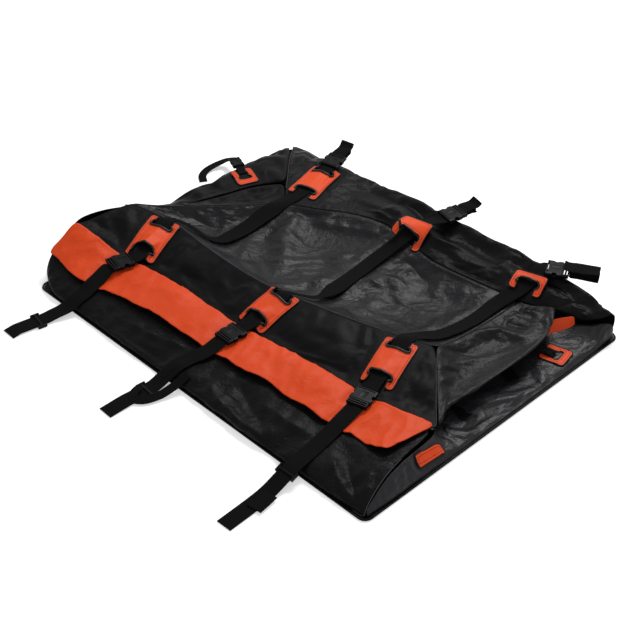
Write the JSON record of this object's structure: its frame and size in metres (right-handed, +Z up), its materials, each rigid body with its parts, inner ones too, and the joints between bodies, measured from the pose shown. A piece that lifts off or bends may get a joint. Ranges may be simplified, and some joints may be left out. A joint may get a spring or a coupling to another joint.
{
  "type": "roof cargo bag",
  "caption": "Soft roof cargo bag, empty and collapsed on its base, with a zip under a storm flap and webbing straps that close with side-release buckles.",
  "frame": {"origin": "centre of the base panel's underside, on the ground", "axes": "+X along the long side, +Y towards the back, +Z up; the storm flap and the front straps are on the -Y side"},
  "size_m": [1.4204, 1.3409, 0.1408],
  "materials": {
    "wall_fabric": "matt coated",
    "satin_fabric": "satin coated",
    "orange_fabric": "satin coated",
    "webbing": "woven, matt",
    "plastic": "moulded"
  },
  "bodies": {
    "bag": {"back_left_buckle_socket": "plastic", "back_middle_buckle_socket": "plastic", "back_right_buckle_socket": "plastic", "back_wall": "wall_fabric", "base_panel": "wall_fabric", "base_piping": "wall_fabric", "cross_strap_left": "webbing", "cross_strap_middle": "webbing", "cross_strap_right": "webbing", "front_left_buckle_socket": "plastic", "front_lower_wall": "wall_fabric", "front_middle_buckle_socket": "plastic", "front_right_buckle_socket": "plastic", "front_upper_wall": "wall_fabric", "left_lower_wall": "wall_fabric", "left_rear_buckle_socket": "plastic", "left_rear_patch": "orange_fabric", "left_rear_tether": "webbing", "left_upper_wall": "wall_fabric", "patch_back_left": "orange_fabric", "patch_back_middle": "orange_fabric", "patch_back_right": "orange_fabric", "patch_front_left": "orange_fabric", "patch_front_middle": "orange_fabric", "patch_front_right": "orange_fabric", "right_front_patch": "orange_fabric", "right_lower_wall": "wall_fabric", "right_rear_buckle_socket": "plastic", "right_rear_patch": "orange_fabric", "right_rear_tether": "webbing", "right_upper_wall": "wall_fabric", "storm_flap": "orange_fabric", "storm_flap_right": "orange_fabric", "top_panel": "satin_fabric", "zip_chain": "plastic"},
    "front_left_strap_end": {"front_left_buckle_prongs": "plastic", "front_left_tail": "webbing"},
    "front_middle_strap_end": {"front_middle_buckle_prongs": "plastic", "front_middle_tail": "webbing"},
    "front_right_strap_end": {"front_right_buckle_prongs": "plastic", "front_right_tail": "webbing"},
    "back_left_strap_end": {"back_left_buckle_prongs": "plastic", "back_left_tail": "webbing"},
    "back_middle_strap_end": {"back_middle_buckle_prongs": "plastic", "back_middle_tail": "webbing"},
    "back_right_strap_end": {"back_right_buckle_prongs": "plastic", "back_right_tail": "webbing"},
    "left_rear_strap_end": {"left_rear_buckle_prongs": "plastic", "left_rear_tail": "webbing"},
    "right_rear_strap_end": {"right_rear_buckle_prongs": "plastic", "right_rear_tail": "webbing"},
    "front_left_triglide": {"front_left_triglide": "plastic"},
    "front_middle_triglide": {"front_middle_triglide": "plastic"},
    "front_right_triglide": {"front_right_triglide": "plastic"},
    "slider_left": {"slider_left": "plastic"},
    "slider_right": {"slider_right": "plastic"}
  },
  "joints": [
    {"name": "front_left_release", "type": "slide", "parent": "bag", "child": "front_left_strap_end", "axis": [-0.2198, -0.9755, 0], "range_m": [0, 0.032]},
    {"name": "front_middle_release", "type": "slide", "parent": "bag", "child": "front_middle_strap_end", "axis": [-0.0297, -0.9996, 0], "range_m": [0, 0.032]},
    {"name": "front_right_release", "type": "slide", "parent": "bag", "child": "front_right_strap_end", "axis": [0.2706, -0.9627, 0], "range_m": [0, 0.032]},
    {"name": "back_left_release", "type": "slide", "parent": "bag", "child": "back_left_strap_end", "axis": [-0.2588, 0.9659, 0], "range_m": [0, 0.032]},
    {"name": "back_middle_release", "type": "slide", "parent": "bag", "child": "back_middle_strap_end", "axis": [0.2079, 0.9781, 0], "range_m": [0, 0.032]},
    {"name": "back_right_release", "type": "slide", "parent": "bag", "child": "back_right_strap_end", "axis": [0.866, 0.5, 0], "range_m": [0, 0.032]},
    {"name": "left_rear_release", "type": "slide", "parent": "bag", "child": "left_rear_strap_end", "axis": [-0.9272, 0.3746, 0], "range_m": [0, 0.022]},
    {"name": "right_rear_release", "type": "slide", "parent": "bag", "child": "right_rear_strap_end", "axis": [-0.9816, -0.1908, 0], "range_m": [0, 0.022]},
    {"name": "front_left_adjust", "type": "slide", "parent": "front_left_strap_end", "child": "front_left_triglide", "axis": [-0.211, -0.9775, 0], "range_m": [0, 0.04]},
    {"name": "front_middle_adjust", "type": "slide", "parent": "front_middle_strap_end", "child": "front_middle_triglide", "axis": [-0.0974, -0.9952, 0], "range_m": [0, 0.04]},
    {"name": "front_right_adjust", "type": "slide", "parent": "front_right_strap_end", "child": "front_right_triglide", "axis": [0.0329, -0.9533, -0.3002], "range_m": [0, 0.04]},
    {"name": "zip_left_run", "type": "slide", "parent": "bag", "child": "slider_left", "axis": [0.9993, 0.0375, -0.0083], "range_m": [0, 0.12]},
    {"name": "zip_right_run", "type": "slide", "parent": "bag", "child": "slider_right", "axis": [-0.9975, -0.0707, -0.0042], "range_m": [0, 0.12]}
  ]
}
